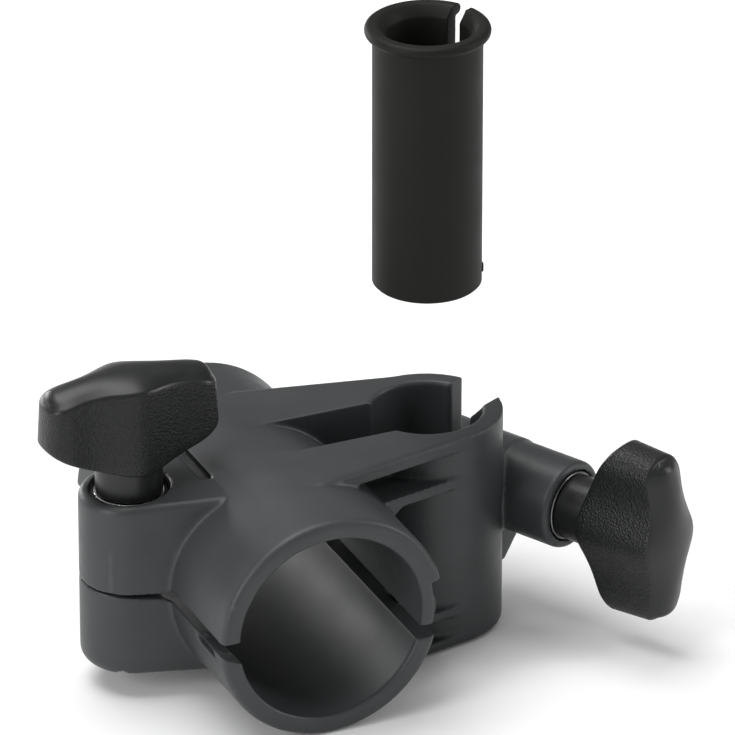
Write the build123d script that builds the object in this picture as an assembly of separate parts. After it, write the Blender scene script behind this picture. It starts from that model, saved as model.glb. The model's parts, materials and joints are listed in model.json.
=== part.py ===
from build123d import *

import math
import os

# A clamp that joins two round tubes at right angles. A hinged jaw closes on a horizontal rack
# pipe, and a split socket beside it grips an upright post. Two wing knobs tighten the two grips,
# and a loose slit sleeve reduces the socket to a thinner rod.
# Origin: centre of the pipe bore. +Y runs along the pipe, +X points to the socket, +Z is up.

# Pipe grip
PIPE_BORE_R = 19.1
TUBE_R = 23.0
TUBE_LENGTH = 75.0
RIM_FILLET = 1.4
STRIP_R = 21.7
STRIP_LENGTH = 10.0
STRIP_START_X = 5.0
STRIP_TOP_Z = 5.6
STRIP_BOTTOM_Z = -3.6
SHELL_LEFT_Z = 0.9
JAW_LEFT_Z = -3.6
FLARE_SHIFT = 1.1
FLARE_INSET = 0.1
FLARE_START_X = 3.0
JAW_RIGHT_Z = -6.4

# Screwed ears on the pipe grip
BOLT_X = -26.65
EAR_R = 10.0
EAR_FLARE = 16.0
EAR_INNER_X = -10.0
EAR_TOP_Z = 18.6
EAR_TOP_SLOPE = 3.0
EAR_RECESS_R = 8.0
PIPE_SEAT_Z = 18.2
EAR_BOTTOM_Z = -18.4
EAR_RIM_FILLET = 1.8
EAR_BASE_FILLET = 3.0
EAR_TIP_GAP = 0.15
EAR_HEEL_GAP = 1.2
SIDE_SLOT_ANGLE = 122.0
SIDE_SLOT_SIZE = (30.0, 2.2)
SIDE_SLOT_DEPTH = 3.2
SIDE_SLOT_FRONT_Y = -5.0
JAW_WINDOW_SIZE = (8.4, 1.8)
JAW_WINDOW_Z = -3.0
JAW_WINDOW_FROM_END = 9.0
JAW_WINDOW_DEPTH = 12.0

# Hinge on the other side of the pipe
HINGE_X = 24.5
HINGE_Z = -7.0
KNUCKLE_R = 3.5
KNUCKLE_GAP = 0.4
PIN_R = 1.5
PIN_HOLE_R = 1.55
PIN_FROM_Y = 15.9
KNUCKLE_EDGES_Y = (16.0, 18.8, 22.2, 25.0)
KNUCKLE_CLEARANCE = 0.4
LUG_TOP_Z = 2.0
LUG_INNER_X = 16.0
LUG_BOTTOM_Z = -12.0
JAW_SWING = 5.0
JAW_CLEARANCE = 0.5

# Upright socket and the forked arm that carries it
POST_X = 36.7
POST_BORE_R = 11.1
SOCKET_R = 15.1
SOCKET_BOTTOM_Z = -22.7
SOCKET_EDGE = 0.8
PLATE_THICKNESS = 2.8
PLATE_TAPER = 12.0
PLATE_EDGE_FILLET = 1.0
ARM_ROOT_X = 5.0
ARM_ROOT_CORNER = 1.0
ARM_WEBS_FROM_X = 10.0
ARM_SLOT_WIDTH = 12.8
WEB_THICKNESS = 3.0
RIB_THICKNESS = 2.2
RIB_TOPS_Z = (14.5, -13.8, SOCKET_BOTTOM_Z + 2.2)
GUSSET_REACH = 4.5

# Split in the socket and the screw across it
SPLIT_ANGLE = 27.0
SPLIT_FRONT = 2.1
SPLIT_REAR = 2.6
POST_BOLT_OFFSET = 16.5
POST_BOLT_Z = 2.3
BOSS_R = 9.0
EAR_BOSS_R = 9.3
FRONT_EAR_END = 9.0
FRONT_WEB_DROP = 16.0
REAR_WEB_DROP = 14.0
WEB_ROOT_INSET = 6.0
EAR_EDGE_FILLET = 0.4
BOSS_END = 24.0
REAR_BOSS_END = 12.5
RAMP_DROP = 6.1
RAMP_OUTSET = 4.0
BOSS_RIM_FILLET = 1.2
MOUTH_CHAMFER = 0.4

# Wing knobs and their hardware
STUD_R = 3.95
NUT_HOLE_R = 4.0
STUD_CLEARANCE_R = 4.5
STUD_ANCHOR_R = 5.0
WASHER_R = 7.0
WASHER_THICKNESS = 1.2
WASHER_CLEARANCE = 0.3
WASHER_HOLE_CLEARANCE = 0.25
PIPE_STUD_LENGTH = 31.0
POST_STUD_LENGTH = 37.5
STUD_HEAD_LENGTH = 8.0
STUD_HEAD_START = 1.0
COLLAR_R = 6.65
COLLAR_LENGTH = 6.4
KNOB_HALF_LENGTH = 18.3
KNOB_HUB_HALF = 8.0
KNOB_WAIST = (10.0, 5.6)
KNOB_TIP_HALF = 4.9
KNOB_TIP_X = 14.6
KNOB_CROWN = 26.4
KNOB_TIP_SPAN = (13.6, 22.8)
PIPE_KNOB_TURN = 1.0
POST_KNOB_LEAN = 2.0
SEAT_GAP = 0.05
NUT_R = 5.0
NUT_LENGTH = 15.0
NUT_Z = -9.0
NUT_CLEARANCE = 0.45
NUT_END_GAP = 0.3
HEX_ACROSS = 12.8
HEX_THICKNESS = 6.4
HEX_CLEARANCE = 0.1

# Reducing sleeve
SLEEVE_R = 10.75
SLEEVE_BORE_R = 8.0
SLEEVE_BOTTOM_Z = 50.7
SLEEVE_HEIGHT = 55.0
LIP_R = 12.3
LIP_THICKNESS = 2.4
FUNNEL = 1.9
SLIT_WIDTH = 3.0
NUB_R = 11.05
NUB_HEIGHT = 3.0
NUB_ANGLE = -24.0
NUB_WIDTH = 2.0
NUB_LENGTH = 1.6

# A length that reaches past the pipe grip on every side
FAR = 40.0

HALF_LENGTH = TUBE_LENGTH / 2
PLATE_TOP_Z = TUBE_R
POST_AXIS = Vector(math.sin(math.radians(SPLIT_ANGLE)), -math.cos(math.radians(SPLIT_ANGLE)), 0)
SPLIT_DIRECTION = Vector(math.cos(math.radians(SPLIT_ANGLE)), math.sin(math.radians(SPLIT_ANGLE)), 0)
POST_BOLT = Vector(POST_X, 0, POST_BOLT_Z) + SPLIT_DIRECTION * POST_BOLT_OFFSET


def upright(radius, low, high, x=0.0, y=0.0):
    """A cylinder along Z."""
    return Pos(x, y, (low + high) / 2) * Cylinder(radius, high - low)


def along_y(radius, low, high, x=0.0, z=0.0):
    """A cylinder along Y."""
    return Pos(x, (low + high) / 2, z) * Rot(90, 0, 0) * Cylinder(radius, high - low)


def block(low, high):
    """A box between two corners."""
    size = [b - a for a, b in zip(low, high)]
    middle = [(a + b) / 2 for a, b in zip(low, high)]
    return Pos(*middle) * Box(*size)


def side_profile(points):
    """An outline in X and Z, as long along Y as anything in the model."""
    face = Plane.XZ * make_face(Polyline(*points, close=True))
    return extrude(face, 2 * TUBE_LENGTH, both=True)


def across_split(sketch, low, high):
    """A sketch about the post bolt's axis, extruded from low to high along that axis."""
    plane = Plane(origin=POST_BOLT + POST_AXIS * low, x_dir=SPLIT_DIRECTION, z_dir=POST_AXIS)
    return extrude(plane * sketch, high - low)


def tube_ring(outer_r=TUBE_R):
    """The whole round tube with its rounded rims, before it is parted."""
    wall = Rectangle(outer_r - PIPE_BORE_R, TUBE_LENGTH)
    outer = wall.vertices().group_by(Axis.X)[-1]
    wall = fillet(outer, RIM_FILLET)
    wall = fillet(wall.vertices().group_by(Axis.X)[0], RIM_FILLET / 2)
    return revolve(Pos((outer_r + PIPE_BORE_R) / 2, 0, 0) * wall, Axis.Y)


def bore_core():
    """A round bar halfway into the tube's wall, which keeps what is added clear of the bore."""
    return along_y((PIPE_BORE_R + TUBE_R) / 2, -HALF_LENGTH - 1, HALF_LENGTH + 1)


def ear_plan():
    """The ears seen from above: a round end with two walls that flare to the tube."""
    angle = math.radians(EAR_FLARE)
    tangent_x = BOLT_X - EAR_R * math.sin(angle)
    tangent_y = EAR_R * math.cos(angle)
    inner_y = tangent_y + (EAR_INNER_X - tangent_x) * math.tan(angle)
    walls = Polyline(
        (tangent_x, -tangent_y),
        (EAR_INNER_X, -inner_y),
        (EAR_INNER_X, inner_y),
        (tangent_x, tangent_y),
        close=True,
    )
    return make_face(walls) + Pos(BOLT_X, 0) * Circle(EAR_R)


def upper_ear():
    """The upper ear, its top face sloping up a little towards the tube."""
    rise = (EAR_INNER_X - BOLT_X + EAR_R) * math.tan(math.radians(EAR_TOP_SLOPE))
    under = side_profile(
        [
            (BOLT_X - EAR_R, EAR_TOP_Z),
            (EAR_INNER_X, EAR_TOP_Z + rise),
            (EAR_INNER_X, 0),
            (BOLT_X - EAR_R, 0),
        ]
    )
    ear = extrude(ear_plan(), EAR_TOP_Z + rise + 1) & under
    return fillet(ear.faces().sort_by(Axis.Z)[-1].edges(), EAR_RIM_FILLET)


def arm_plan():
    """The arm seen from above: edges that taper from the tube and run tangent into the socket."""
    angle = math.radians(PLATE_TAPER)
    tangent_x = POST_X + SOCKET_R * math.sin(angle)
    tangent_y = SOCKET_R * math.cos(angle)
    root_y = tangent_y + (tangent_x - ARM_ROOT_X) * math.tan(angle)
    edges = Polyline(
        (0, -root_y + ARM_ROOT_CORNER),
        (ARM_ROOT_X, -root_y),
        (tangent_x, -tangent_y),
        (tangent_x, tangent_y),
        (ARM_ROOT_X, root_y),
        (0, root_y - ARM_ROOT_CORNER),
        close=True,
    )
    return make_face(edges) + Pos(POST_X, 0) * Circle(SOCKET_R)


def jaw_sweep():
    """The room that the jaw and its swing need inside the body."""
    room = along_y(TUBE_R + JAW_CLEARANCE, -HALF_LENGTH - 1, HALF_LENGTH + 1)
    hinge = Axis((HINGE_X, 0, HINGE_Z), (0, -1, 0))
    room += room.rotate(hinge, JAW_SWING / 2) + room.rotate(hinge, JAW_SWING)
    room &= block((-FAR, -FAR, -FAR), (FAR, FAR, STRIP_BOTTOM_Z))
    knuckle_edge = HINGE_X + KNUCKLE_R + JAW_CLEARANCE
    for side in (-1, 1):
        low, high = sorted((side * (PIN_FROM_Y - 0.2), side * (KNUCKLE_EDGES_Y[-1] + JAW_CLEARANCE)))
        room += block((LUG_INNER_X, low, LUG_BOTTOM_Z - 6), (knuckle_edge, high, STRIP_BOTTOM_Z))
    return room


def knuckles(outer):
    """The hinge knuckles: the outer pair of each hinge belongs to the jaw, the middle to the body."""
    first, second, third, fourth = KNUCKLE_EDGES_Y
    spans = [(first, second), (third, fourth)] if outer else [(second, third)]
    return [(side * a, side * b) for a, b in spans for side in (-1, 1)]


def knuckle_cylinders(outer, radius, margin):
    """Solids on the hinge's axis over one set of knuckles, grown along Y by a margin."""
    found = Part()
    for a, b in knuckles(outer):
        low, high = min(a, b) - margin, max(a, b) + margin
        found += along_y(radius, low, high, HINGE_X, HINGE_Z)
    return found


def arm():
    """The top plate, two webs beside the arm's slot and the ribs outside them."""
    plan = arm_plan()
    plate = extrude(Pos(0, 0, PLATE_TOP_Z - PLATE_THICKNESS) * plan, PLATE_THICKNESS)
    edges = plate.edges().group_by(Axis.Z)[-1]
    plate = fillet([e for e in edges if e.center().X > 1], PLATE_EDGE_FILLET)
    web_y = ARM_SLOT_WIDTH / 2
    webs = block(
        (ARM_WEBS_FROM_X, -web_y - WEB_THICKNESS, SOCKET_BOTTOM_Z),
        (POST_X, web_y + WEB_THICKNESS, PLATE_TOP_Z - 1),
    )
    ribs = Part()
    for top in RIB_TOPS_Z:
        ribs += extrude(Pos(0, 0, top - RIB_THICKNESS) * plan, RIB_THICKNESS)
    rib_top = RIB_TOPS_Z[0] - RIB_THICKNESS
    corner_x = math.sqrt(TUBE_R**2 - rib_top**2)
    inner_x = corner_x - RIB_THICKNESS
    gusset = Polyline(
        (inner_x, rib_top + 0.1),
        (corner_x + GUSSET_REACH, rib_top + 0.1),
        (corner_x + GUSSET_REACH * 0.45, rib_top - GUSSET_REACH * 0.35),
        (corner_x + GUSSET_REACH * 0.3, rib_top - GUSSET_REACH),
        (inner_x, rib_top - GUSSET_REACH),
        close=True,
    )
    flanks = extrude(Plane.XZ * make_face(gusset), TUBE_LENGTH, both=True)
    ribs += flanks & extrude(plan, PLATE_TOP_Z)
    from_tube = block((ARM_WEBS_FROM_X, -FAR, -FAR), (2 * POST_X, FAR, FAR))
    return plate + webs + (ribs & from_tube)


def arm_slot():
    """The gap between the fork's two arms, open to the socket's bore."""
    half = ARM_SLOT_WIDTH / 2
    gap = block((0, -half, SOCKET_BOTTOM_Z - 1), (POST_X, half, PLATE_TOP_Z + 1))
    return gap - along_y(TUBE_R, -HALF_LENGTH, HALF_LENGTH)


def boss_profile(reach_down):
    """One split ear seen along its bolt: a round boss with a web back to the socket below it."""
    root = SOCKET_R - POST_BOLT_OFFSET
    ear = Polyline(
        (root - WEB_ROOT_INSET, EAR_BOSS_R),
        (0, EAR_BOSS_R),
        (EAR_BOSS_R * 0.8, -EAR_BOSS_R * 0.6),
        (root - 1, -reach_down),
        (root - WEB_ROOT_INSET, -reach_down),
        close=True,
    )
    return make_face(ear) + Circle(EAR_BOSS_R)


def socket():
    """The upright socket with the boss of its clamping screw and the nut's ear behind."""
    tube = upright(SOCKET_R, SOCKET_BOTTOM_Z, PLATE_TOP_Z, POST_X)
    tube = chamfer(tube.edges().group_by(Axis.Z)[0], SOCKET_EDGE)
    front = across_split(boss_profile(FRONT_WEB_DROP), 0, FRONT_EAR_END)
    front = fillet(front.edges().group_by(Axis(POST_BOLT, POST_AXIS))[-1], EAR_EDGE_FILLET)
    boss = across_split(Circle(BOSS_R), 0, BOSS_END)
    rims = boss.edges().filter_by(GeomType.CIRCLE).sort_by(Axis(POST_BOLT, POST_AXIS))
    boss = fillet(rims[-1], BOSS_RIM_FILLET)
    rear = across_split(boss_profile(REAR_WEB_DROP), -REAR_BOSS_END, 0)
    hole = across_split(Circle(STUD_CLEARANCE_R), -REAR_BOSS_END - 1, BOSS_END + 1)
    recess = across_split(Circle(WASHER_R + WASHER_CLEARANCE), BOSS_END - WASHER_THICKNESS, BOSS_END + 1)
    pocket = across_split(
        RegularPolygon(HEX_ACROSS / 2 + HEX_CLEARANCE, 6, major_radius=False),
        -REAR_BOSS_END - 1,
        -REAR_BOSS_END + HEX_THICKNESS + HEX_CLEARANCE,
    )
    return tube + front + boss + rear - hole - recess - pocket


def socket_cuts():
    """The bore with its chamfered mouth, the split and the ramp beside it."""
    bore = upright(POST_BORE_R, SOCKET_BOTTOM_Z - 1, PLATE_TOP_Z + 1, POST_X)
    bore += Pos(POST_X, 0, PLATE_TOP_Z - MOUTH_CHAMFER) * Cone(
        POST_BORE_R,
        POST_BORE_R + 2 * MOUTH_CHAMFER,
        2 * MOUTH_CHAMFER,
        align=(Align.CENTER, Align.CENTER, Align.MIN),
    )
    middle = Plane(origin=(POST_X, 0, 0), x_dir=SPLIT_DIRECTION, z_dir=(0, 0, 1))
    split_width = SPLIT_FRONT + SPLIT_REAR
    split = middle * Pos(FAR / 2, (SPLIT_REAR - SPLIT_FRONT) / 2, 0) * Box(FAR, split_width, 2 * FAR)
    ramp_plane = Plane(
        origin=Vector(POST_X, 0, PLATE_TOP_Z) + SPLIT_DIRECTION * (SOCKET_R + RAMP_OUTSET),
        x_dir=POST_AXIS,
        z_dir=-SPLIT_DIRECTION,
    )
    reach = SPLIT_FRONT + RAMP_DROP
    wedge = make_face(Polyline((0, 1), (reach + 1, 1), (0, -reach), close=True))
    ramp = extrude(ramp_plane * wedge, SOCKET_R - POST_BORE_R + RAMP_OUTSET + 3)
    return [bore, split, ramp]


def clamp_body():
    """The moulded body: upper half of the pipe grip, upper ear, arm and socket in one piece."""
    keep = side_profile(
        [
            (-FAR, SHELL_LEFT_Z),
            (0, SHELL_LEFT_Z),
            (0, STRIP_BOTTOM_Z),
            (FAR, STRIP_BOTTOM_Z),
            (FAR, FAR),
            (-FAR, FAR),
        ]
    )
    thick_side = block((FLARE_START_X, -FAR, 0), (FAR, FAR, FAR))
    flare = Pos(FLARE_SHIFT, 0, 0) * tube_ring(TUBE_R - FLARE_INSET) & thick_side
    shell = (tube_ring() & keep) + flare
    for side in (-1, 1):
        low, high = sorted((side * (HALF_LENGTH + 1), side * (HALF_LENGTH - STRIP_LENGTH)))
        outside = along_y(TUBE_R + 2, low, high) - along_y(STRIP_R, low, high)
        shell -= outside & block((STRIP_START_X, low, -FAR), (FAR, high, STRIP_TOP_Z))
    ear = upper_ear()
    lugs = Part()
    web = side_profile(
        [
            (HINGE_X - KNUCKLE_R, HINGE_Z),
            (HINGE_X - KNUCKLE_R, LUG_TOP_Z),
            (HINGE_X - KNUCKLE_R / 2, LUG_TOP_Z),
            (HINGE_X + KNUCKLE_R, HINGE_Z),
        ]
    )
    for a, b in knuckles(False):
        low, high = min(a, b) + KNUCKLE_GAP / 2, max(a, b) - KNUCKLE_GAP / 2
        lugs += along_y(KNUCKLE_R, low, high, HINGE_X, HINGE_Z)
        lugs += web & block((0, low, -FAR), (FAR, high, FAR))
    core = bore_core()
    body = shell + (ear - core) + (arm() + socket() - jaw_sweep() - core) + lugs
    body -= arm_slot()
    for cut in socket_cuts():
        body -= cut
    body -= upright(STUD_CLEARANCE_R, -1, EAR_TOP_Z + 1, BOLT_X)
    body -= upright(EAR_RECESS_R, PIPE_SEAT_Z - WASHER_THICKNESS, EAR_TOP_Z + 2, BOLT_X)
    length, width = SIDE_SLOT_SIZE
    slot = block(
        (TUBE_R - SIDE_SLOT_DEPTH, SIDE_SLOT_FRONT_Y, -width / 2),
        (TUBE_R + 1, SIDE_SLOT_FRONT_Y + length, width / 2),
    )
    body -= slot.rotate(Axis.Y, -SIDE_SLOT_ANGLE)
    body -= along_y(PIN_HOLE_R, -FAR, FAR, HINGE_X, HINGE_Z)
    body -= knuckle_cylinders(True, KNUCKLE_R + KNUCKLE_CLEARANCE, KNUCKLE_GAP / 2)
    return body


def lower_jaw():
    """The hinged lower half of the pipe grip with its ear."""
    heel_x = -TUBE_R - 1
    keep = side_profile(
        [
            (BOLT_X - EAR_R - 2, -EAR_TIP_GAP),
            (BOLT_X - EAR_R, -EAR_TIP_GAP),
            (heel_x, -EAR_HEEL_GAP),
            (-PIPE_BORE_R, JAW_LEFT_Z),
            (0, JAW_LEFT_Z),
            (0, JAW_RIGHT_Z),
            (FAR, JAW_RIGHT_Z),
            (FAR, -FAR),
            (BOLT_X - EAR_R - 2, -FAR),
        ]
    )
    ear = extrude(Pos(0, 0, EAR_BOTTOM_Z) * ear_plan(), -EAR_BOTTOM_Z)
    ear = fillet(ear.edges().group_by(Axis.Z)[0], EAR_BASE_FILLET)
    jaw = (tube_ring() + (ear - bore_core())) & keep
    for a, b in knuckles(True):
        low, high = min(a, b) + KNUCKLE_GAP / 2, max(a, b) - KNUCKLE_GAP / 2
        lug = along_y(KNUCKLE_R, low, high, HINGE_X, HINGE_Z)
        root = block((LUG_INNER_X, low, LUG_BOTTOM_Z), (HINGE_X, high, HINGE_Z))
        lug += root & along_y(TUBE_R + KNUCKLE_R / 2, low, high)
        jaw += lug - along_y(PIPE_BORE_R + 1, low, high)
    jaw -= knuckle_cylinders(False, KNUCKLE_R + KNUCKLE_CLEARANCE, KNUCKLE_GAP / 2)
    jaw -= along_y(PIN_HOLE_R, -FAR, FAR, HINGE_X, HINGE_Z)
    trough_r = NUT_R + NUT_CLEARANCE
    half = NUT_LENGTH / 2 + NUT_END_GAP
    jaw -= along_y(trough_r, -half, half, BOLT_X, NUT_Z)
    jaw -= block((BOLT_X - trough_r, -half, EAR_BOTTOM_Z - 1), (BOLT_X + trough_r, half, NUT_Z))
    jaw -= upright(STUD_CLEARANCE_R, -FAR, 1, BOLT_X)
    window = SlotOverall(JAW_WINDOW_SIZE[0], JAW_WINDOW_SIZE[1])
    window_plane = Plane(
        origin=(-TUBE_R - 7, -HALF_LENGTH + JAW_WINDOW_FROM_END, JAW_WINDOW_Z),
        x_dir=(0, 1, 0),
        z_dir=(1, 0, 0),
    )
    jaw -= extrude(window_plane * window, JAW_WINDOW_DEPTH)
    return jaw


def hinge_pin(side):
    """A plain steel pin through one set of knuckles."""
    ends = sorted((side * PIN_FROM_Y, side * (KNUCKLE_EDGES_Y[-1] + 0.1)))
    pin = along_y(PIN_R, ends[0], ends[1], HINGE_X, HINGE_Z)
    return chamfer(pin.edges().filter_by(GeomType.CIRCLE), 0.3)


def wing_outline():
    """The wing knob seen along its screw: a round hub, a waist each side and blunt tips."""
    quarter = Spline(
        (0, KNOB_HUB_HALF),
        (KNOB_HUB_HALF * 0.6, KNOB_HUB_HALF * 0.87),
        KNOB_WAIST,
        (KNOB_TIP_X, KNOB_TIP_HALF),
        (KNOB_HALF_LENGTH, 0),
        tangents=((1, 0), (0, -1)),
    )
    half = [quarter, mirror(quarter, Plane.YZ)]
    return make_face(half + [mirror(edge, Plane.XZ) for edge in half])


def wing_knob():
    """A wing knob on its own axis, its bearing face at Z 0 and its wings along X."""
    grip = extrude(Pos(0, 0, COLLAR_LENGTH) * wing_outline(), KNOB_CROWN - COLLAR_LENGTH)
    tip_low, tip_high = KNOB_TIP_SPAN
    crown = ThreePointArc(
        (-KNOB_HALF_LENGTH - 1, tip_high), (0, KNOB_CROWN), (KNOB_HALF_LENGTH + 1, tip_high)
    )
    under = Polyline(
        (KNOB_HALF_LENGTH + 1, tip_high),
        (KNOB_HALF_LENGTH + 1, tip_low + 0.5),
        (COLLAR_R, COLLAR_LENGTH),
        (-COLLAR_R, COLLAR_LENGTH),
        (-KNOB_HALF_LENGTH - 1, tip_low + 0.5),
        (-KNOB_HALF_LENGTH - 1, tip_high),
    )
    side = Plane.XZ * make_face([crown, under])
    grip &= extrude(side, 2 * KNOB_HUB_HALF, both=True)
    return grip + upright(COLLAR_R, SEAT_GAP, COLLAR_LENGTH + 2)


def stud(length_below):
    """A threaded stud with a knurled head moulded into the knob."""
    head_z = COLLAR_LENGTH + STUD_HEAD_START
    shank = upright(STUD_R, -length_below, head_z)
    shank = chamfer(shank.edges().group_by(Axis.Z)[0], 0.6)
    return shank + upright(STUD_ANCHOR_R, head_z, head_z + STUD_HEAD_LENGTH)


def washer():
    """A plain steel washer, its upper face at Z 0."""
    ring = upright(WASHER_R, -WASHER_THICKNESS, 0)
    ring -= upright(STUD_R + WASHER_HOLE_CLEARANCE, -WASHER_THICKNESS - 1, 1)
    return chamfer(ring.edges().filter_by(GeomType.CIRCLE), 0.15)


def barrel_nut():
    """A round nut across the ear, so that it stays true to the stud while the jaw swings."""
    half = NUT_LENGTH / 2
    nut = along_y(NUT_R, -half, half, BOLT_X, NUT_Z)
    nut = chamfer(nut.edges().filter_by(GeomType.CIRCLE), 0.5)
    return nut - upright(NUT_HOLE_R, -FAR, 1, BOLT_X)


def hex_nut():
    """A hexagon nut in the pocket behind the split."""
    ring = RegularPolygon(HEX_ACROSS / 2, 6, major_radius=False) - Circle(NUT_HOLE_R)
    return across_split(ring, -REAR_BOSS_END, -REAR_BOSS_END + HEX_THICKNESS)


def reducing_sleeve():
    """A slit sleeve with a rounded lip and a small nub that keeps it in the socket."""
    top = SLEEVE_BOTTOM_Z + SLEEVE_HEIGHT
    tube = upright(SLEEVE_R, SLEEVE_BOTTOM_Z, top - 1)
    tube = chamfer(tube.edges().group_by(Axis.Z)[0], 0.5)
    lip = upright(LIP_R, top - LIP_THICKNESS, top)
    lip = fillet(lip.edges().filter_by(GeomType.CIRCLE), LIP_THICKNESS * 0.42)
    tube += lip
    funnel = Pos(0, 0, top - FUNNEL) * Cone(
        SLEEVE_BORE_R, SLEEVE_BORE_R + FUNNEL, FUNNEL + 0.01, align=(Align.CENTER, Align.CENTER, Align.MIN)
    )
    tube -= upright(SLEEVE_BORE_R, SLEEVE_BOTTOM_Z - 1, top + 1) + funnel
    nub = Rot(0, 0, NUB_ANGLE - SPLIT_ANGLE) * Pos(SLEEVE_R - 0.5, 0, SLEEVE_BOTTOM_Z + NUB_HEIGHT)
    nub_depth = 2 * (NUB_R - SLEEVE_R + 0.5)
    tube += nub * Box(nub_depth, NUB_WIDTH, NUB_LENGTH) & upright(NUB_R, SLEEVE_BOTTOM_Z, top)
    slit = block((0, -SLIT_WIDTH / 2, SLEEVE_BOTTOM_Z - 1), (LIP_R + 1, SLIT_WIDTH / 2, top + 1))
    return Pos(POST_X, 0, 0) * Rot(0, 0, SPLIT_ANGLE) * (tube - slit)


def save(shape, name):
    shape.label = name
    export_step(shape, os.path.join("parts", name + ".step"))


os.makedirs("parts", exist_ok=True)
pipe_place = Pos(BOLT_X, 0, PIPE_SEAT_Z) * Rot(0, 0, PIPE_KNOB_TURN)
lean = math.radians(POST_KNOB_LEAN)
wing_direction = Vector(0, 0, 1) * math.cos(lean) + SPLIT_DIRECTION * math.sin(lean)
seat = POST_BOLT + POST_AXIS * BOSS_END
post_place = Plane(origin=seat, x_dir=wing_direction, z_dir=POST_AXIS).location

save(clamp_body(), "clamp_body")
save(lower_jaw(), "lower_jaw")
save(hinge_pin(-1), "hinge_pin_front")
save(hinge_pin(1), "hinge_pin_rear")
save(pipe_place * stud(PIPE_STUD_LENGTH), "pipe_stud")
save(pipe_place * (wing_knob() - stud(PIPE_STUD_LENGTH)), "pipe_knob")
save(pipe_place * washer(), "pipe_washer")
save(barrel_nut(), "pipe_barrel_nut")
save(post_place * stud(POST_STUD_LENGTH), "post_stud")
save(post_place * (wing_knob() - stud(POST_STUD_LENGTH)), "post_knob")
save(post_place * washer(), "post_washer")
save(hex_nut(), "post_nut")
save(reducing_sleeve(), "reducing_sleeve")
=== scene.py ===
import json
import math

import bmesh
import bpy
from bpy.props import FloatProperty, FloatVectorProperty, IntProperty, PointerProperty
from bpy.types import Operator, Panel, PropertyGroup
from mathutils import Matrix, Vector


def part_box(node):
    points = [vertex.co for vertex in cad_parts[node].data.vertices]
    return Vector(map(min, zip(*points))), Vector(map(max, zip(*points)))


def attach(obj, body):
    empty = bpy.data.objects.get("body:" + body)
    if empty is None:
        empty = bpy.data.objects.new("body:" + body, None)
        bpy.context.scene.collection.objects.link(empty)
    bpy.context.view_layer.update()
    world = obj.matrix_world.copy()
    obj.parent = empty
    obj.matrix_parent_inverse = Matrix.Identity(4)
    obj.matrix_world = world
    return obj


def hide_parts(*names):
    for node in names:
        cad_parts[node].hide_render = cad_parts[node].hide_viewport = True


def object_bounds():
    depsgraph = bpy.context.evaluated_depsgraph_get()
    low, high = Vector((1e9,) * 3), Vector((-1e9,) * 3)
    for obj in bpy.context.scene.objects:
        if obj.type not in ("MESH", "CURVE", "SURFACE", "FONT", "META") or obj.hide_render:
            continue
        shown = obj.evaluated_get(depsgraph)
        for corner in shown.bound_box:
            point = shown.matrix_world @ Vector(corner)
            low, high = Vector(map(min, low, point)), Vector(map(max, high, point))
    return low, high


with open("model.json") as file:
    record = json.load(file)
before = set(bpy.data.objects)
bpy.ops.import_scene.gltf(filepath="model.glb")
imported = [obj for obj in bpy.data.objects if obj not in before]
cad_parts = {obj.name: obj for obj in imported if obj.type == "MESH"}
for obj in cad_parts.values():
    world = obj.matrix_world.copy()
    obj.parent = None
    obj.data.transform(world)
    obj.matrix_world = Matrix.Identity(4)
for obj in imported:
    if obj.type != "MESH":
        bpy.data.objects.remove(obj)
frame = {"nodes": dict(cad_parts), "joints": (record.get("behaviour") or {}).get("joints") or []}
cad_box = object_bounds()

bl_info = {
    "name": "Pipe Clamp",
    "version": (1, 0, 0),
    "blender": (4, 5, 0),
    "location": "3D View > Sidebar > Clamp",
    "description": "Makes the finished pieces of a right-angle pipe clamp around its CAD frame",
    "category": "Object",
}

MM = 0.001
UP = Vector((0, 0, 1))
SHARP_ANGLE = math.radians(38)
JOINTS = {joint["name"]: joint for joint in frame["joints"]}


# Places read from the frame


def box_middle(node):
    """The middle of a CAD node's box."""
    low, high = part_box(node)
    return (low + high) / 2


def screw_frame(origin, axis, along):
    """A matrix whose Z runs out along a screw and whose X runs along its knob's wings."""
    z = axis.normalized()
    x = (along - z * along.dot(z)).normalized()
    y = z.cross(x)
    place = Matrix((x, y, z)).transposed().to_4x4()
    place.translation = origin
    return place


def pipe_knob_place(turn):
    """The pipe knob's seat, on top of its washer, with its wings turned by an angle."""
    seat = box_middle("pipe_washer")
    seat.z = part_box("pipe_washer")[1].z
    return screw_frame(seat, UP, Vector((math.cos(turn), math.sin(turn), 0)))


def post_knob_place(lean):
    """The post knob's seat, on its washer's outer face, with its wings leaning from upright."""
    axis = Vector(JOINTS["post_knob_turn"]["axis"]).normalized()
    washer_half = (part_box("pipe_washer")[1].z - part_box("pipe_washer")[0].z) / 2
    seat = box_middle("post_washer") + axis * washer_half
    across = UP.cross(axis)
    return screw_frame(seat, axis, UP * math.cos(lean) + across * -math.sin(lean))


# Making and finishing meshes


def new_piece(name, bm, materials):
    """A linked object from a bmesh that is already in place, with its materials."""
    bmesh.ops.remove_doubles(bm, verts=bm.verts, dist=0.001 * MM)
    bmesh.ops.recalc_face_normals(bm, faces=bm.faces)
    mesh = bpy.data.meshes.new(name)
    for material in materials:
        mesh.materials.append(material)
    bm.to_mesh(mesh)
    bm.free()
    return finish_piece(name, mesh)


def finish_piece(name, mesh):
    """Links a mesh as an object and shades it smooth with true creases."""
    mesh.name = name
    mesh.shade_smooth()
    mesh.set_sharp_from_angle(angle=SHARP_ANGLE)
    piece = bpy.data.objects.new(name, mesh)
    bpy.context.scene.collection.objects.link(piece)
    return piece


def place_in_frame(piece, body, slot, *nodes):
    """Lets a piece ride on its body, in place of CAD nodes."""
    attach(piece, body)
    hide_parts(*nodes)


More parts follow.
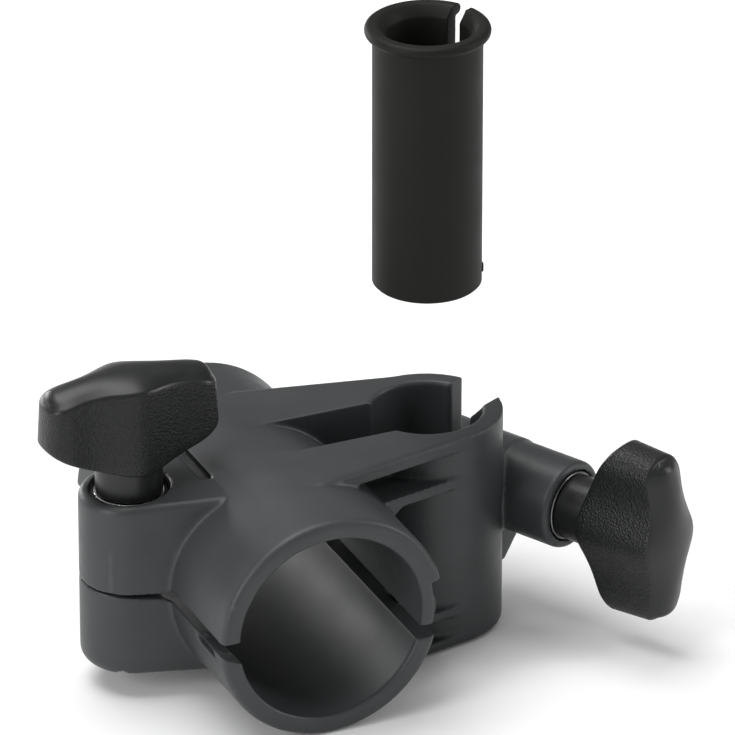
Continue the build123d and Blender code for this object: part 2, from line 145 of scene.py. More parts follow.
def apply_modifiers(piece):
    """The piece's own mesh, with its modifiers worked in."""
    bpy.context.view_layer.update()
    shaped = piece.evaluated_get(bpy.context.evaluated_depsgraph_get())
    mesh = bpy.data.meshes.new_from_object(shaped)
    piece.modifiers.clear()
    return mesh


def scratch_object(bm):
    """A linked object to run modifiers on."""
    bmesh.ops.recalc_face_normals(bm, faces=bm.faces)
    mesh = bpy.data.meshes.new("scratch")
    bm.to_mesh(mesh)
    bm.free()
    scratch = bpy.data.objects.new("scratch", mesh)
    bpy.context.scene.collection.objects.link(scratch)
    return scratch


def combine(first, second, operation):
    """Two closed bmeshes joined or cut, as a new bmesh. Both are used up."""
    base, tool = scratch_object(first), scratch_object(second)
    cut = base.modifiers.new("cut", "BOOLEAN")
    cut.operation = operation
    cut.solver = "EXACT"
    cut.object = tool
    mesh = apply_modifiers(base)
    result = bmesh.new()
    result.from_mesh(mesh)
    for used in (base, tool):
        bpy.data.objects.remove(used)
    bpy.data.meshes.remove(mesh)
    if not result.faces:
        raise RuntimeError("two shapes could not be combined")
    return result


def spun(profile, segments, closed=True):
    """A ring spun about Z from points in radius and height, in millimetres."""
    bm = bmesh.new()
    verts = [bm.verts.new((radius, 0, height)) for radius, height in profile]
    pairs = list(zip(verts, verts[1:]))
    if closed:
        pairs.append((verts[-1], verts[0]))
    edges = [bm.edges.new(pair) for pair in pairs]
    bmesh.ops.spin(
        bm,
        geom=verts + edges,
        cent=(0, 0, 0),
        axis=(0, 0, 1),
        angle=math.tau,
        steps=segments,
        use_merge=True,
    )
    bmesh.ops.remove_doubles(bm, verts=bm.verts, dist=0.0005)
    bmesh.ops.recalc_face_normals(bm, faces=bm.faces)
    return bm


def arc(centre, radius, start, end, steps):
    """Points of an arc in a profile, its angles in degrees."""
    points = []
    for step in range(steps + 1):
        angle = math.radians(start + (end - start) * step / steps)
        points.append((centre[0] + radius * math.cos(angle), centre[1] + radius * math.sin(angle)))
    return points


def into_place(bm, place):
    """Scales a bmesh from millimetres and moves it to its place."""
    bmesh.ops.transform(bm, matrix=place @ Matrix.Scale(MM, 4), verts=bm.verts)


# Materials


def blank_material(name):
    """A node material with its tree, its shader and object coordinates."""
    material = bpy.data.materials.new(name)
    material.use_nodes = True
    tree = material.node_tree
    coordinates = tree.nodes.new("ShaderNodeTexCoord").outputs["Object"]
    return material, tree, tree.nodes["Principled BSDF"], coordinates


def noise_pattern(tree, coordinates, size, detail=3.0, roughness=0.5, distortion=0.0):
    """A noise whose spots are about size millimetres across."""
    node = tree.nodes.new("ShaderNodeTexNoise")
    node.inputs["Scale"].default_value = 1 / (size * MM)
    node.inputs["Detail"].default_value = detail
    node.inputs["Roughness"].default_value = roughness
    node.inputs["Distortion"].default_value = distortion
    tree.links.new(coordinates, node.inputs["Vector"])
    return node.outputs["Fac"]


def leather_pattern(tree, coordinates, size):
    """Small rounded cells with worn lines between them, about size millimetres across."""
    node = tree.nodes.new("ShaderNodeTexVoronoi")
    node.feature = "F1"
    node.inputs["Scale"].default_value = 1 / (size * MM)
    node.inputs["Randomness"].default_value = 1.0
    tree.links.new(coordinates, node.inputs["Vector"])
    return node.outputs["Distance"]


def stretched(tree, coordinates, scale, turn=(0, 0, 0)):
    """Object coordinates drawn out along one way, for brush lines."""
    node = tree.nodes.new("ShaderNodeMapping")
    node.inputs["Scale"].default_value = scale
    node.inputs["Rotation"].default_value = turn
    tree.links.new(coordinates, node.inputs["Vector"])
    return node.outputs["Vector"]


def remapped(tree, value, low, high, from_low=0.3, from_high=0.7):
    """A pattern brought into a range."""
    node = tree.nodes.new("ShaderNodeMapRange")
    node.inputs["From Min"].default_value = from_low
    node.inputs["From Max"].default_value = from_high
    node.inputs["To Min"].default_value = low
    node.inputs["To Max"].default_value = high
    tree.links.new(value, node.inputs["Value"])
    return node.outputs["Result"]


def colour_between(tree, factor, dark, light):
    """A colour that a pattern turns from dark to light."""
    node = tree.nodes.new("ShaderNodeMix")
    node.data_type = "RGBA"
    node.inputs[6].default_value = (*dark, 1)
    node.inputs[7].default_value = (*light, 1)
    tree.links.new(factor, node.inputs[0])
    return node.outputs[2]


def blend_colour(tree, factor, under, light):
    """A colour pattern with a lighter colour over it where a mask says."""
    node = tree.nodes.new("ShaderNodeMix")
    node.data_type = "RGBA"
    node.inputs[7].default_value = (*light, 1)
    tree.links.new(factor, node.inputs[0])
    tree.links.new(under, node.inputs[6])
    return node.outputs[2]


def painted_edge_highlight(tree, low, high, amount):
    """Painted highlight: white on outer, pointed edges, standing in for the sheen that rounded rims catch."""
    pointiness = tree.nodes.new("ShaderNodeNewGeometry").outputs["Pointiness"]
    return remapped(tree, pointiness, 0.0, amount, low, high)


def bumped(tree, shader, layers):
    """Bump from several patterns, each with its depth in millimetres."""
    normal = None
    for height, depth in layers:
        node = tree.nodes.new("ShaderNodeBump")
        node.inputs["Strength"].default_value = 1.0
        node.inputs["Distance"].default_value = depth * MM
        tree.links.new(height, node.inputs["Height"])
        if normal is not None:
            tree.links.new(normal, node.inputs["Normal"])
        normal = node.outputs["Normal"]
    tree.links.new(normal, shader.inputs["Normal"])


def scaled(colour, factor):
    """A colour made lighter or darker."""
    return tuple(min(channel * factor, 1.0) for channel in colour)


def moulded_nylon(name, colour):
    """Satin glass-filled nylon: faint flow clouding, spark-eroded skin and a painted highlight on its edges.
    """
    material, tree, shader, at = blank_material(name)
    clouds = noise_pattern(tree, at, 14, detail=4)
    speckle = noise_pattern(tree, at, 0.5, detail=2)
    tone = colour_between(tree, remapped(tree, clouds, 0, 1), scaled(colour, 0.9), scaled(colour, 1.12))
    # Painted highlight: the outer edges turned lighter, as if they caught the light.
    tone = blend_colour(tree, painted_edge_highlight(tree, 0.52, 0.62, 0.35), tone, scaled(colour, 2.2))
    shader.inputs["Specular IOR Level"].default_value = 0.4
    tree.links.new(tone, shader.inputs["Base Color"])
    gloss = remapped(tree, noise_pattern(tree, at, 6, detail=5), 0.40, 0.50)
    tree.links.new(gloss, shader.inputs["Roughness"])
    skin = noise_pattern(tree, at, 0.35, detail=2, roughness=0.6)
    bumped(tree, shader, [(skin, 0.012), (speckle, 0.01)])
    return material


def grained_plastic(name, colour, grain):
    """The knobs' side walls: a leather grain in semi-gloss black."""
    material, tree, shader, at = blank_material(name)
    wander = noise_pattern(tree, at, 1.6, detail=2)
    cells = leather_pattern(tree, at, grain)
    creases = noise_pattern(tree, at, grain * 1.4, detail=3, distortion=1.2)
    tone = colour_between(tree, remapped(tree, wander, 0, 1), scaled(colour, 0.85), scaled(colour, 1.2))
    # Painted highlight: the knob walls' outer edges turned lighter, as if they caught the light.
    tone = blend_colour(tree, painted_edge_highlight(tree, 0.53, 0.66, 0.3), tone, scaled(colour, 2.6))
    shader.inputs["Specular IOR Level"].default_value = 0.32
    tree.links.new(tone, shader.inputs["Base Color"])
    tree.links.new(remapped(tree, creases, 0.30, 0.44), shader.inputs["Roughness"])
    bumped(tree, shader, [(cells, 0.11), (creases, 0.07)])
    return material


def smooth_plastic(name, colour):
    """The knobs' crowns and collars: the same black, almost without grain."""
    material, tree, shader, at = blank_material(name)
    clouds = noise_pattern(tree, at, 5, detail=4)
    skin = noise_pattern(tree, at, 0.45, detail=3)
    tone = colour_between(tree, remapped(tree, clouds, 0, 1), scaled(colour, 0.9), scaled(colour, 1.15))
    # Painted highlight: the crown's outer edges turned lighter, as if they caught the light.
    tone = blend_colour(tree, painted_edge_highlight(tree, 0.53, 0.66, 0.3), tone, scaled(colour, 2.4))
    shader.inputs["Specular IOR Level"].default_value = 0.4
    tree.links.new(tone, shader.inputs["Base Color"])
    tree.links.new(remapped(tree, clouds, 0.34, 0.42), shader.inputs["Roughness"])
    bumped(tree, shader, [(skin, 0.02)])
    return material


def matte_plastic(name, colour):
    """The sleeve: soft matte black with a faint draw along its length."""
    material, tree, shader, at = blank_material(name)
    clouds = noise_pattern(tree, at, 9, detail=4)
    draw = noise_pattern(tree, stretched(tree, at, (1, 1, 0.06)), 0.6, detail=2)
    skin = noise_pattern(tree, at, 0.3, detail=2)
    tone = colour_between(tree, remapped(tree, clouds, 0, 1), scaled(colour, 0.88), scaled(colour, 1.14))
    # Painted highlight: the sleeve's outer edges turned lighter, as if they caught the light.
    tone = blend_colour(tree, painted_edge_highlight(tree, 0.53, 0.64, 0.3), tone, scaled(colour, 2.0))
    shader.inputs["Specular IOR Level"].default_value = 0.15
    tree.links.new(tone, shader.inputs["Base Color"])
    tree.links.new(remapped(tree, clouds, 0.50, 0.60), shader.inputs["Roughness"])
    bumped(tree, shader, [(skin, 0.012), (draw, 0.01)])
    return material


def plated_steel(name, colour, rough):
    """Plated steel: fine turning lines, a patchy bright finish and a few dull spots."""
    material, tree, shader, at = blank_material(name)
    patches = noise_pattern(tree, at, 2.2, detail=4)
    lines = noise_pattern(tree, stretched(tree, at, (1, 1, 9)), 0.35, detail=2)
    tone = colour_between(tree, remapped(tree, patches, 0, 1), scaled(colour, 0.82), scaled(colour, 1.1))
    tree.links.new(tone, shader.inputs["Base Color"])
    tree.links.new(remapped(tree, patches, rough * 0.8, rough * 1.3), shader.inputs["Roughness"])
    shader.inputs["Metallic"].default_value = 1.0
    bumped(tree, shader, [(lines, 0.006)])
    return material


def floor_paper(name, colour):
    """Pale backdrop paper with a hardly visible tooth."""
    material, tree, shader, at = blank_material(name)
    clouds = noise_pattern(tree, at, 300, detail=2)
    tooth = noise_pattern(tree, at, 0.8, detail=2)
    tone = colour_between(tree, remapped(tree, clouds, 0, 1), scaled(colour, 0.985), colour)
    tree.links.new(tone, shader.inputs["Base Color"])
    shader.inputs["Roughness"].default_value = 0.9
    bumped(tree, shader, [(tooth, 0.01)])
    return material


# Settings that a user would change


class ClampMouldings(PropertyGroup):
    skin: FloatProperty(
        name="Skin Size",
        description="Size of the skin laid over the body and the jaw, which rounds their edges",
        default=0.4 * MM,
        unit="LENGTH",
    )
    easing: IntProperty(
        name="Easing",
        description="Smoothing passes that round the moulded edges and inner corners",
        default=4,
        min=0,
    )
    share: FloatProperty(
        name="Kept Faces",
        description="Share of the skin's faces that are kept on the body",
        default=0.5,
        subtype="FACTOR",
        min=0.1,
        max=1.0,
    )
    colour: FloatVectorProperty(
        name="Nylon Colour",
        description="Colour of the body and the jaw",
        default=(0.032, 0.0345, 0.036),
        subtype="COLOR",
    )


class ClampKnobs(PropertyGroup):
    half_length: FloatProperty(
        name="Half Length",
        description="From the screw's axis to the tip of a wing",
        default=18.3 * MM,
        unit="LENGTH",
    )
    hub: FloatProperty(
        name="Hub Half Width",
        description="Half of the knob's width over its hub",
        default=8.0 * MM,
        unit="LENGTH",
    )
    waist: FloatProperty(
        name="Wing Half Width",
        description="Half of a wing's width at its waist",
        default=5.3 * MM,
        unit="LENGTH",
    )
    tip_swell: FloatProperty(
        name="Tip Swell",
        description="How much each side of a wing swells again near its tip",
        default=0.35 * MM,
        unit="LENGTH",
    )
    rim: FloatProperty(
        name="Rim Radius",
        description="Radius of the rounded rim around the crown",
        default=1.2 * MM,
        unit="LENGTH",
    )
    grain: FloatProperty(
        name="Grain Size",
        description="Size of the leather grain's cells on the side walls",
        default=0.45 * MM,
        unit="LENGTH",
    )
    pipe_turn: FloatProperty(
        name="Pipe Knob Turn",
        description="Turn of the pipe knob's wings from the X axis",
        default=math.radians(1),
        subtype="ANGLE",
    )
    post_lean: FloatProperty(
        name="Post Knob Lean",
        description="Lean of the post knob's wings from upright",
        default=math.radians(2),
        subtype="ANGLE",
    )
    colour: FloatVectorProperty(
        name="Knob Colour",
        description="Colour of both wing knobs",
        default=(0.0085, 0.009, 0.0095),
        subtype="COLOR",
    )


class ClampSteel(PropertyGroup):
    pitch: FloatProperty(
        name="Thread Pitch",
        description="Pitch of the screws' thread",
        default=1.25 * MM,
        unit="LENGTH",
    )
    depth: FloatProperty(
        name="Thread Depth",
        description="Depth of the screws' thread",
        default=0.65 * MM,
        unit="LENGTH",
    )
    bright: FloatVectorProperty(
        name="Zinc Colour",
        description="Colour of the bright plated steel",
        default=(0.62, 0.62, 0.60),
        subtype="COLOR",
    )
    dark: FloatVectorProperty(
        name="Dark Steel Colour",
        description="Colour of the dark plated washer",
        default=(0.20, 0.20, 0.20),
        subtype="COLOR",
    )


class ClampSleeve(PropertyGroup):
    slit: FloatProperty(
        name="Slit Width",
        description="Width of the slit along the sleeve",
        default=3.0 * MM,
        unit="LENGTH",
    )
    neck: FloatProperty(
        name="Neck Radius",
        description="Radius of the hollow under the sleeve's lip",
        default=0.3 * MM,
        unit="LENGTH",
    )
    colour: FloatVectorProperty(
        name="Sleeve Colour",
        description="Colour of the reducing sleeve",
        default=(0.0095, 0.0095, 0.0085),
        subtype="COLOR",
    )


class ClampStage(PropertyGroup):
    azimuth: FloatProperty(
        name="Camera Azimuth",
        description="Turn of the camera about the clamp, from in front of the pipe's end",
        default=math.radians(-23.95),
        subtype="ANGLE",
    )
    elevation: FloatProperty(
        name="Camera Elevation",
        description="Height of the camera over the clamp, as an angle",
        default=math.radians(26.78),
        subtype="ANGLE",
    )
    distance: FloatProperty(
        name="Camera Distance",
        description="From the camera to the point that it looks at",
        default=1.7,
        unit="LENGTH",
    )
    lens: FloatProperty(
        name="Camera Lens",
        description="Focal length of the camera, in millimetres on a 36 mm sensor",
        default=424.2,
    )
    aim: FloatVectorProperty(
        name="Camera Aim",
        description="The point that the camera looks at",
        default=(26.46 * MM, 5.50 * MM, 31.24 * MM),
        subtype="TRANSLATION",
        unit="LENGTH",
    )
    floor: FloatVectorProperty(
        name="Floor Colour",
        description="Colour of the floor",
        default=(0.90, 0.90, 0.90),
        subtype="COLOR",
    )


# Operators, one for each piece or group of like pieces


def remoulded(node, name, skin, easing, share, material):
    """A CAD moulding under a new skin, so that its edges and inner corners run round."""
    source = frame["nodes"][node].data.copy()
    bm = bmesh.new()
    bm.from_mesh(source)
    bmesh.ops.remove_doubles(bm, verts=bm.verts, dist=0.001 * MM)
    bpy.data.meshes.remove(source)
    scratch = scratch_object(bm)
    cover = scratch.modifiers.new("cover", "REMESH")
    cover.mode = "VOXEL"
    cover.voxel_size = skin
    ease = scratch.modifiers.new("ease", "SMOOTH")
    ease.factor = 0.5
    ease.iterations = easing
    thin = scratch.modifiers.new("thin", "DECIMATE")
    thin.ratio = share
    mesh = apply_modifiers(scratch)
    bpy.data.objects.remove(scratch)
    if not mesh.polygons:
        raise RuntimeError(f"{node} could not be given its skin")
    mesh.materials.clear()
    mesh.materials.append(material)
    return finish_piece(name, mesh)


class CLAMP_OT_mouldings(Operator):
    """Round the edges of the body and the jaw and give them their nylon"""

    bl_idname = "clamp.mouldings"
    bl_label = "Body and Jaw"

    def execute(self, context):
        size = context.scene.clamp_mouldings
        nylon = moulded_nylon("moulded_nylon", size.colour)
        for node, slot in (("clamp_body", "body_plastic"), ("lower_jaw", "jaw_plastic")):
            piece = remoulded(node, node + "_moulding", size.skin, size.easing, size.share, nylon)
            place_in_frame(piece, node, slot, node)
        return {"FINISHED"}


# Heights of the wing knob above its seat, and its roundings, in millimetres
COLLAR_TOP = 6.2
COLLAR_R = 6.65
COLLAR_HOLE_R = 4.0
CROWN = 24.6
CROWN_DROP = 2.6
CROWN_DOME = 1.7
TIP_RISE = 6.6
FOOT_ROUND = 0.7
WALL_DRAFT = 0.42
OUTLINE_POINTS = 160
CROSS_POINTS = 9
FOOT_STEPS = 4
WALL_STEPS = 8
RIM_STEPS = 6
RIM_TURN = 66


def wing_half_width(x, size):
    """Half of the knob's width at a place along its wings, in millimetres."""
    hub, waist, swell, length = (v / MM for v in (size.hub, size.waist, size.tip_swell, size.half_length))
    belly = (hub - waist) * math.exp(-((x / 5.9) ** 2))
    lobe = swell * math.exp(-(((abs(x) - 14.0) / 2.8) ** 2))
    tip = max(1 - (abs(x) / length) ** 14, 0.0)
    return (waist + belly + lobe) * math.sqrt(tip)


def wing_outline(size):
    """The knob's outline as points with their inward normals, from one tip all the way round."""
    points = []
    for step in range(OUTLINE_POINTS):
        angle = math.tau * step / OUTLINE_POINTS
        x = size.half_length / MM * math.cos(angle)
        points.append(Vector((x, math.copysign(wing_half_width(x, size), math.sin(angle)))))
    outline = []
    for step, point in enumerate(points):
        along = points[(step + 1) % OUTLINE_POINTS] - points[step - 1]
        outline.append((point, Vector((-along.y, along.x)).normalized()))
    return outline


def wall_rows(rim):
    """Rows of the knob's skin: inset, share of the height, and rise above that share."""
    rows = []
    for step in range(FOOT_STEPS):
        angle = math.radians(90 * step / FOOT_STEPS)
        rows.append((FOOT_ROUND * (1 - math.sin(angle)), 0.0, FOOT_ROUND * (1 - math.cos(angle))))
    for step in range(WALL_STEPS + 1):
        share = step / WALL_STEPS
        rows.append((WALL_DRAFT * share, share, FOOT_ROUND - (rim + FOOT_ROUND) * share))
    for step in range(1, RIM_STEPS + 1):
        angle = math.radians(RIM_TURN * step / RIM_STEPS)
        rows.append((WALL_DRAFT + rim * (1 - math.cos(angle)), 1.0, rim * math.sin(angle) - rim))
    return rows


def ring_of(bm, outline, row, length):
    """One row of the knob's skin as vertices."""
    inset, share, rise = row
    verts = []
    for point, inward in outline:
        place = point + inward * inset
        foot = COLLAR_TOP + TIP_RISE * (abs(place.x) / length) ** 1.7
        crown = CROWN - CROWN_DROP * (place.x / length) ** 2
        verts.append(bm.verts.new((place.x, place.y, foot + (crown - foot) * share + rise)))
    return verts


def cover(bm, ring, dome):
    """Closes a ring with cross rows, arched by dome in the middle of each."""
    half = OUTLINE_POINTS // 2
    before = [ring[0]] * (CROSS_POINTS + 1)
    for step in range(1, half):
        first, last = ring[step], ring[-step]
        row = [first]
        for cross in range(1, CROSS_POINTS):
            share = cross / CROSS_POINTS
            arch = dome * (1 - (2 * share - 1) ** 2) * min(abs(first.co.y) / 4, 1.0)
            row.append(bm.verts.new(first.co.lerp(last.co, share) + UP * arch))
        row.append(last)
        join_rows(bm, before, row)
        before = row
    join_rows(bm, before, [ring[half]] * (CROSS_POINTS + 1))


def join_rows(bm, before, row):
    """Faces between two cross rows, with three corners where a row is a single point."""
    for cross in range(CROSS_POINTS):
        corners = (before[cross], before[cross + 1], row[cross + 1], row[cross])
        bm.faces.new(tuple(dict.fromkeys(corners)))


def wings(size):
    """The wings and hub with their arched crown and rounded rims."""
    length = size.half_length / MM
    outline = wing_outline(size)
    bm = bmesh.new()
    rings = [ring_of(bm, outline, row, length) for row in wall_rows(size.rim / MM)]
    for low, high in zip(rings, rings[1:]):
        for step in range(OUTLINE_POINTS):
            bm.faces.new((low[step - 1], low[step], high[step], high[step - 1]))
    cover(bm, rings[0], 0.0)
    cover(bm, rings[-1], CROWN_DOME)
    return bm


def collar():
    """The round collar under the wings, with the hole that its screw is moulded into."""
    profile = [
        (COLLAR_HOLE_R, 0.05),
        *arc((COLLAR_R - 0.5, 0.55), 0.5, -90, 0, 4),
        (COLLAR_R, COLLAR_TOP + 2.5),
        (COLLAR_HOLE_R, COLLAR_TOP + 2.5),
    ]
    return spun(profile, 72)


def wing_knob(size):
    """One wing knob on its own axis, its seat at the origin, in millimetres."""
    bm = combine(wings(size), collar(), "UNION")
    for face in bm.faces:
        middle = face.calc_center_median()
        is_wall = abs(face.normal.z) < 0.35 and math.hypot(middle.x, middle.y) > COLLAR_R + 0.05
        face.material_index = 0 if is_wall else 1
    return bm


class CLAMP_OT_knobs(Operator):
    """Shape both wing knobs, with grained walls and smooth crowns"""

    bl_idname = "clamp.knobs"
    bl_label = "Wing Knobs"

    def execute(self, context):
        size = context.scene.clamp_knobs
        grained = grained_plastic("knob_grain", size.colour, size.grain / MM)
        smooth = smooth_plastic("knob_crown", size.colour)
        places = {
            "pipe_knob": pipe_knob_place(size.pipe_turn),
            "post_knob": post_knob_place(size.post_lean),
        }
        for node, place in places.items():
            bm = wing_knob(size)
            into_place(bm, place)
            piece = new_piece(node + "_grip", bm, [grained, smooth])
            place_in_frame(piece, node, "knob_plastic", node)
        return {"FINISHED"}


def screw_thread(radius, pitch, depth, low, high):
    """A threaded rod about Z, closed at both ends, in millimetres."""
    turns = math.ceil((high - low) / pitch) + 3
    steps = 28
    start = low - 1.5 * pitch
    root = radius - depth
    profile = [(root, 0), (root, 0.22), (radius, 0.53), (radius, 0.68), (root, 1)]
    bm = bmesh.new()
    verts = [bm.verts.new((r, 0, start + h * pitch)) for r, h in profile]
    edges = [bm.edges.new(pair) for pair in zip(verts, verts[1:])]
    bmesh.ops.spin(
        bm,
        geom=verts + edges,
        cent=(0, 0, 0),
        axis=(0, 0, 1),
        dvec=(0, 0, pitch / steps),
        angle=math.tau * turns,
        steps=steps * turns,
    )
    bmesh.ops.remove_doubles(bm, verts=bm.verts, dist=0.01)
    for height, normal in ((low, -1), (high, 1)):
        bmesh.ops.bisect_plane(
            bm,
            geom=bm.verts[:] + bm.edges[:] + bm.faces[:],
            plane_co=(0, 0, height),
            plane_no=(0, 0, normal),
            clear_outer=True,
        )
    rims = [edge for edge in bm.edges if edge.is_boundary]
    bmesh.ops.holes_fill(bm, edges=rims, sides=0)
    bmesh.ops.recalc_face_normals(bm, faces=bm.faces)
    return bm


def taper_end(bm, end, radius, length):
    """Turns a rod's low end down to a blunt point."""
    for vert in bm.verts:
        limit = radius - max(length - (vert.co.z - end), 0)
        reach = vert.co.xy.length
        if reach > limit:
            vert.co.xy *= limit / reach


def threaded_stud(node, axis_place, size):
    """The screw of a knob, as long as its CAD node below the knob's seat."""
    corners = [Vector(v.co) for v in frame["nodes"][node].data.vertices]
    local = [axis_place.inverted() @ corner for corner in corners]
    low = min(point.z for point in local) / MM
    radius = max(point.xy.length for point in local if point.z < 0) / MM
    bm = screw_thread(radius, size.pitch / MM, size.depth / MM, low, COLLAR_TOP - 0.2)
    taper_end(bm, low, radius - 0.1, 0.9)
    return bm


def hexagon_nut(size):
    """A nut with chamfered corners and a threaded hole, its faces on Z, in millimetres."""
    across, thick, hole = 12.8, 6.4, 4.0
    corner = across / 2 / math.cos(math.pi / 6)
    prism = bmesh.new()
    bmesh.ops.create_cone(
        prism, cap_ends=True, segments=6, radius1=corner, radius2=corner, depth=thick
    )
    half = thick / 2
    lens = spun(
        [(0, -half - 0.01), (across / 2 - 0.1, -half - 0.01), (corner, -half + 0.55), (corner + 1, 0),
         (corner, half - 0.55), (across / 2 - 0.1, half + 0.01), (0, half + 0.01)],
        72,
        closed=False,
    )
    nut = combine(prism, lens, "INTERSECT")
    tap = screw_thread(hole + 0.02, size.pitch / MM, size.depth / MM * 0.8, -half - 1, half + 1)
    return combine(nut, tap, "DIFFERENCE")


class CLAMP_OT_steel(Operator):
    """Cut the screws' threads and plate the pins, washers and nuts"""

    bl_idname = "clamp.steel"
    bl_label = "Screws, Pins, Nuts and Washers"

    def execute(self, context):
        size = context.scene.clamp_steel
        knobs = context.scene.clamp_knobs
        zinc = plated_steel("zinc_plate", size.bright, 0.26)
        dark = plated_steel("dark_plate", size.dark, 0.34)
        finishes = {
            "hinge_pin_front": zinc,
            "hinge_pin_rear": zinc,
            "pipe_washer": zinc,
            "pipe_barrel_nut": zinc,
            "post_washer": dark,
        }
        for node, finish in finishes.items():
            mesh = frame["nodes"][node].data
            mesh.materials.clear()
            mesh.materials.append(finish)
        places = {
            "pipe": pipe_knob_place(knobs.pipe_turn),
            "post": post_knob_place(knobs.post_lean),
        }
        for side, place in places.items():
            node = side + "_stud"
            bm = threaded_stud(node, place, size)
            into_place(bm, place)
            stud = new_piece(node + "_thread", bm, [zinc])
            place_in_frame(stud, side + "_knob", "zinc_steel", node)
        nut_place = places["post"].copy()
        nut_place.translation = box_middle("post_nut")
        bm = hexagon_nut(size)
        bmesh.ops.rotate(bm, cent=(0, 0, 0), matrix=Matrix.Rotation(-knobs.post_lean, 3, "Z"), verts=bm.verts)
        into_place(bm, nut_place)
        nut = new_piece("post_nut_hexagon", bm, [zinc])
        place_in_frame(nut, "clamp_body", "zinc_steel", "post_nut")
        return {"FINISHED"}


def sleeve_profile(size):
    """Half of the sleeve's section: rounded lip, hollow neck, wall and funnel, in millimetres."""
    low, high = (corner.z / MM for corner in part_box("reducing_sleeve"))
    lip_r = (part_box("reducing_sleeve")[1].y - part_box("reducing_sleeve")[0].y) / 2 / MM
    outer, bore, funnel, roll = 10.75, 8.0, 1.9, 1.15
    neck = size.neck / MM
    return [
        (bore, low + 0.4),
        (bore + 0.4, low),
        (outer - 0.5, low),
        (outer, low + 0.5),
        (outer, high - 2 * roll - neck - 0.9),
        *arc((outer + neck, high - 2 * roll - neck - 0.1), neck, 180, 118, 6),
        *arc((lip_r - roll, high - roll), roll, -70, 105, 12),
        (bore + funnel + 0.15, high - 0.02),
        (bore + funnel - 0.25, high - 0.30),
        (bore + 0.15, high - funnel - 0.1),
        (bore, high - funnel - 0.5),
    ]


class CLAMP_OT_sleeve(Operator):
    """Spin the reducing sleeve and cut its slit"""

    bl_idname = "clamp.sleeve"
    bl_label = "Reducing Sleeve"

    def execute(self, context):
        size = context.scene.clamp_sleeve
        bm = spun(sleeve_profile(size), 160)
        open_slit(bm, size.slit / MM / 2)
        middle = box_middle("reducing_sleeve")
        slit_side = Vector(JOINTS["post_screw_travel"]["axis"]).cross(UP) * -1
        angle = math.atan2(slit_side.y, slit_side.x)
        place = Matrix.Translation((middle.x, middle.y, 0)) @ Matrix.Rotation(angle, 4, "Z")
        add_nub(bm, math.radians(-24) - angle)
        into_place(bm, place)
        piece = new_piece("reducing_sleeve_moulding", bm, [matte_plastic("sleeve_plastic", size.colour)])
        place_in_frame(piece, "reducing_sleeve", "sleeve_plastic", "reducing_sleeve")
        return {"FINISHED"}


def open_slit(bm, half):
    """Cuts a straight slit through the +X side of a ring, with softened edges."""
    for side in (-1, 1):
        near = [f for f in bm.faces if f.calc_center_median().x > 0]
        edges = {e for f in near for e in f.edges}
        verts = {v for f in near for v in f.verts}
        bmesh.ops.bisect_plane(
            bm,
            geom=[*verts, *edges, *near],
            plane_co=(0, side * half, 0),
            plane_no=(0, 1, 0),
            dist=0.0001,
        )
    gone = [f for f in bm.faces if f.calc_center_median().x > 0 and abs(f.calc_center_median().y) < half]
    bmesh.ops.delete(bm, geom=gone, context="FACES")
    rims = [edge for edge in bm.edges if edge.is_boundary]
    walls = bmesh.ops.holes_fill(bm, edges=rims, sides=0)["faces"]
    bmesh.ops.recalc_face_normals(bm, faces=bm.faces)
    corners = list({edge for wall in walls for edge in wall.edges})
    bmesh.ops.bevel(
        bm, geom=corners, offset=0.22, affect="EDGES", segments=3, profile=0.5, material=-1
    )


def add_nub(bm, angle):
    """The small nub near the sleeve's foot."""
    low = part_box("reducing_sleeve")[0].z / MM
    made = bmesh.ops.create_cube(bm, size=1)["verts"]
    bmesh.ops.scale(bm, vec=(1.0, 1.9, 1.5), verts=made)
    edges = list({edge for vert in made for edge in vert.link_edges})
    rounded = bmesh.ops.bevel(
        bm, geom=edges, offset=0.3, affect="EDGES", segments=3, profile=0.5, material=-1
    )["verts"]
    made = list({v for v in [*made, *rounded] if v.is_valid})
    turn = Matrix.Rotation(angle, 4, "Z") @ Matrix.Translation((10.55, 0, low + 3.0))
    bmesh.ops.transform(bm, matrix=turn, verts=made)


class CLAMP_OT_stage(Operator):
    """Lay the floor and set the lights and the camera"""

    bl_idname = "clamp.stage"
    bl_label = "Floor, Lights and Camera"

    def execute(self, context):
        stage = context.scene.clamp_stage
        make_floor(stage)
        for light in LIGHTS:
            area_light(*light)
        make_camera(stage)
        set_surroundings()
        context.scene.view_settings.view_transform = "Standard"
        return {"FINISHED"}


# Soft lamps: name, place and size in metres, power in watts
LIGHTS = (
    ("overhead_softbox", (-0.25, 0.35, 1.5), 1.3, 1.1, 24.0),
    ("left_softbox", (-1.3, -0.35, 0.55), 0.5, 0.9, 9.0),
    ("right_strip", (1.2, -0.5, 0.5), 0.25, 0.9, 6.0),
    ("front_fill", (0.0, -1.6, 0.35), 1.2, 0.4, 1.5),
    ("bore_glow", (-0.25, 0.9, 0.12), 0.5, 0.2, 3.0),
)


def make_floor(stage):
    """A plain pale floor just under the clamp."""
    bm = bmesh.new()
    bmesh.ops.create_grid(bm, x_segments=8, y_segments=8, size=6.0)
    bmesh.ops.translate(bm, vec=(0, 0, cad_box[0][2] - 0.1 * MM), verts=bm.verts)
    floor = new_piece("floor", bm, [floor_paper("floor_paper", stage.floor)])


def area_light(name, place, width, height, power):
    """A soft rectangular lamp that points at the clamp."""
    lamp = bpy.data.lights.new(name, "AREA")
    lamp.shape = "RECTANGLE"
    lamp.size = width
    lamp.size_y = height
    lamp.energy = power
    holder = bpy.data.objects.new(name, lamp)
    holder.location = place
    holder.rotation_euler = (-Vector(place)).to_track_quat("-Z", "Y").to_euler()
    bpy.context.scene.collection.objects.link(holder)


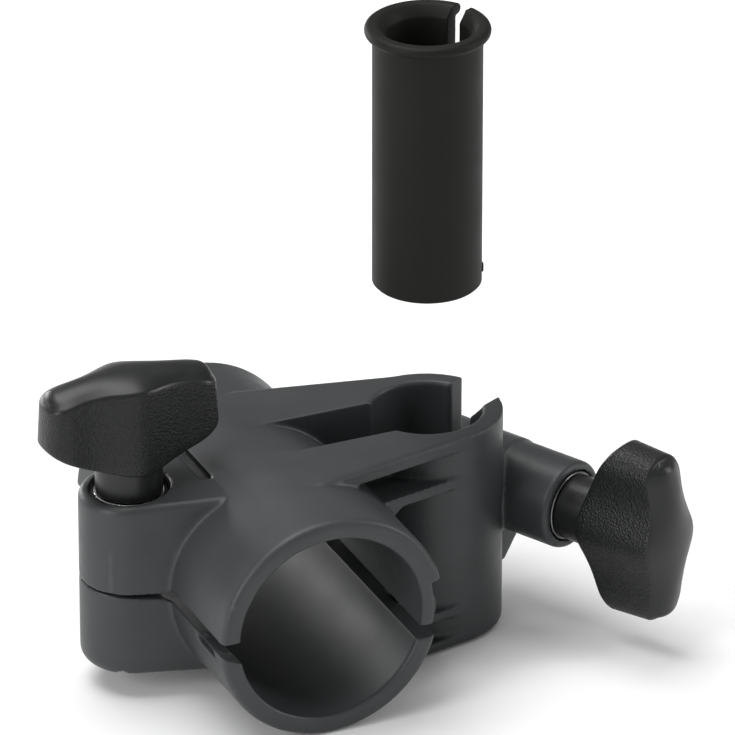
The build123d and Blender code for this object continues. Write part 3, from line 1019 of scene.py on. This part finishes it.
def make_camera(stage):
    """A long lens that looks at the clamp from the left and above."""
    camera = bpy.data.cameras.new("camera")
    camera.lens = stage.lens
    camera.sensor_width = 36
    camera.clip_start = 0.05
    camera.clip_end = 50
    holder = bpy.data.objects.new("camera", camera)
    level = math.cos(stage.elevation)
    back = Vector(
        (math.sin(stage.azimuth) * level, -math.cos(stage.azimuth) * level, math.sin(stage.elevation))
    )
    holder.location = Vector(stage.aim) + back * stage.distance
    holder.rotation_euler = (-back).to_track_quat("-Z", "Y").to_euler()
    bpy.context.scene.collection.objects.link(holder)
    bpy.context.scene.camera = holder


def set_surroundings():
    """Even white light from all round, as in a light tent."""
    world = bpy.data.worlds.new("light_tent")
    world.use_nodes = True
    background = world.node_tree.nodes["Background"]
    background.inputs["Color"].default_value = (1, 1, 1, 1)
    background.inputs["Strength"].default_value = 0.30
    bpy.context.scene.world = world


class CLAMP_PT_panel(Panel):
    """The clamp's makers, in the order that they run"""

    bl_idname = "CLAMP_PT_panel"
    bl_label = "Pipe Clamp"
    bl_space_type = "VIEW_3D"
    bl_region_type = "UI"
    bl_category = "Clamp"

    def draw(self, context):
        column = self.layout.column()
        for maker in MAKERS:
            column.operator(maker.bl_idname)


SETTINGS = {
    "clamp_mouldings": ClampMouldings,
    "clamp_knobs": ClampKnobs,
    "clamp_steel": ClampSteel,
    "clamp_sleeve": ClampSleeve,
    "clamp_stage": ClampStage,
}
MAKERS = (CLAMP_OT_mouldings, CLAMP_OT_knobs, CLAMP_OT_steel, CLAMP_OT_sleeve, CLAMP_OT_stage)
CLASSES = (*SETTINGS.values(), *MAKERS, CLAMP_PT_panel)


def register():
    for cls in CLASSES:
        bpy.utils.register_class(cls)
    for name, settings in SETTINGS.items():
        setattr(bpy.types.Scene, name, PointerProperty(type=settings))


def unregister():
    for name in SETTINGS:
        delattr(bpy.types.Scene, name)
    for cls in reversed(CLASSES):
        bpy.utils.unregister_class(cls)


def main():
    register()
    bpy.ops.clamp.mouldings()
    bpy.ops.clamp.knobs()
    bpy.ops.clamp.steel()
    bpy.ops.clamp.sleeve()
    bpy.ops.clamp.stage()


if __name__ == "__main__":
    main()
